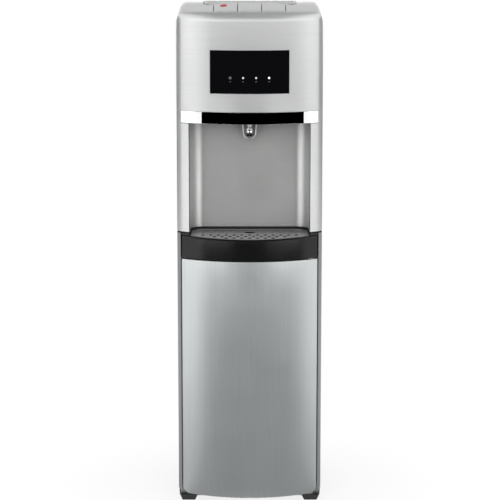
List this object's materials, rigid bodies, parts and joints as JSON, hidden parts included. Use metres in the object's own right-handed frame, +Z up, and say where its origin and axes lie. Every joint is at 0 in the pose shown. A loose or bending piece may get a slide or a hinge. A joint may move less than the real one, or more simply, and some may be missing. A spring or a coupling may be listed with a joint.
{
  "type": "bottom load water cooler",
  "caption": "Free-standing water cooler with a bottle compartment behind a bowed door, a dispensing niche with drip tray, a display panel and rocking keys on top.",
  "frame": {"origin": "middle of the footprint's bounding box, on the floor", "axes": "+Z up, the front faces -Y, +X to the right seen from the front"},
  "size_m": [0.31, 0.365, 1.084],
  "materials": {
    "black_steel": "satin",
    "black_plastic": "matte",
    "side_paint": "satin",
    "rear_sheet": "plain",
    "zinc_steel": "plain",
    "liner_grey": "matte",
    "white_plastic": "matte",
    "stainless": "satin",
    "hose_silicone": "matte",
    "silver_front": "metallic paint, satin",
    "magnet": "matte",
    "dark_plastic": "satin",
    "black_rubber": "matte",
    "grille_grey": "satin",
    "bright_trim": "mirror",
    "smoked_window": "gloss",
    "board_green": "satin",
    "clear_acrylic": "clear",
    "niche_silver": "metallic paint, satin",
    "gloss_black": "gloss",
    "red_plastic": "gloss",
    "green_plastic": "gloss",
    "white_foam": "matte",
    "copper": "drawn"
  },
  "bodies": {
    "cabinet": {"base_frame": "black_steel", "front_feet": "black_plastic", "rear_feet": "black_plastic", "left_side_panel": "side_paint", "right_side_panel": "side_paint", "rear_panel": "rear_sheet", "mid_shelf": "zinc_steel", "tank_shelf": "zinc_steel", "compartment_liner": "liner_grey", "bottle_cradle": "liner_grey", "probe_holder": "white_plastic", "probe_hose": "hose_silicone", "hinge_lower": "zinc_steel", "hinge_upper": "zinc_steel", "catch_plate": "zinc_steel", "tray_deck": "dark_plastic", "seam_gasket": "black_rubber", "front_housing": "silver_front", "trim_bar": "bright_trim", "display_window": "smoked_window", "display_board": "board_green", "light_guides": "clear_acrylic", "niche_liner": "niche_silver", "nozzle_shroud": "niche_silver", "nozzle_spout": "bright_trim", "top_cover": "silver_front", "key_pin": "zinc_steel", "key_board": "board_green", "cold_tank": "stainless", "cold_insulation": "white_foam", "hot_tank": "stainless", "heater_band": "stainless", "outlet_valves": "white_plastic", "water_pump": "dark_plastic", "water_hoses": "hose_silicone", "main_board": "board_green", "compressor": "black_steel", "compressor_grommets": "black_rubber", "condenser": "black_steel", "condenser_clips": "black_plastic", "filter_drier": "copper", "switch_bezels": "black_plastic", "drain_spout": "white_plastic", "cord_inlet": "black_rubber", "rear_screws": "zinc_steel"},
    "door": {"door_skin": "silver_front", "door_liner": "liner_grey", "door_bushes": "white_plastic", "door_magnet": "magnet"},
    "probe": {"probe_cap": "white_plastic", "probe_tube": "stainless"},
    "tray": {"drip_tray": "gloss_black"},
    "grille": {"drip_grille": "grille_grey"},
    "hot_key": {"hot_key": "silver_front"},
    "room_key": {"room_key": "silver_front"},
    "cold_key": {"cold_key": "silver_front"},
    "lock_button": {"hot_lock_button": "red_plastic"},
    "hot_switch": {"hot_switch": "red_plastic"},
    "cold_switch": {"cold_switch": "green_plastic"},
    "drain_cap": {"drain_cap": "white_plastic"}
  },
  "joints": [
    {"name": "door_hinge", "type": "hinge", "parent": "cabinet", "child": "door", "pos_m": [0.1345, -0.1361, 0.28], "axis": [0, 0, 1], "range_deg": [0, 110]},
    {"name": "tray_slide", "type": "slide", "parent": "cabinet", "child": "tray", "axis": [0, -1, 0], "range_m": [0, 0.112]},
    {"name": "grille_lift", "type": "slide", "parent": "tray", "child": "grille", "axis": [0, 0, 1], "range_m": [0, 0.05]},
    {"name": "hot_key_press", "type": "hinge", "parent": "cabinet", "child": "hot_key", "pos_m": [-0.0501, -0.1202, 1.07001], "axis": [1, 0, 0], "range_deg": [0, 4], "stiffness_Nm_per_rad": 1, "springref_deg": -1.72},
    {"name": "room_key_press", "type": "hinge", "parent": "cabinet", "child": "room_key", "pos_m": [0, -0.1202, 1.07001], "axis": [1, 0, 0], "range_deg": [0, 4], "stiffness_Nm_per_rad": 1, "springref_deg": -1.72},
    {"name": "cold_key_press", "type": "hinge", "parent": "cabinet", "child": "cold_key", "pos_m": [0.0501, -0.1202, 1.07001], "axis": [1, 0, 0], "range_deg": [0, 4], "stiffness_Nm_per_rad": 1, "springref_deg": -1.72},
    {"name": "lock_press", "type": "slide", "parent": "hot_key", "child": "lock_button", "axis": [0.0694, 0.2659, -0.9615], "range_m": [0, 0.002], "stiffness_N_per_m": 400, "springref_m": -0.002},
    {"name": "hot_switch_rock", "type": "hinge", "parent": "cabinet", "child": "hot_switch", "pos_m": [0.062, 0.1602, 0.962], "axis": [-1, 0, 0], "range_deg": [0, 16]},
    {"name": "cold_switch_rock", "type": "hinge", "parent": "cabinet", "child": "cold_switch", "pos_m": [0.104, 0.1602, 0.962], "axis": [-1, 0, 0], "range_deg": [0, 16]},
    {"name": "drain_cap_pull", "type": "slide", "parent": "cabinet", "child": "drain_cap", "axis": [0, 1, 0], "range_m": [0, 0.012]},
    {"name": "probe_lift", "type": "slide", "parent": "cabinet", "child": "probe", "axis": [0, 0, 1], "range_m": [0, 0.025], "deforming": ["probe_hose"]}
  ]
}
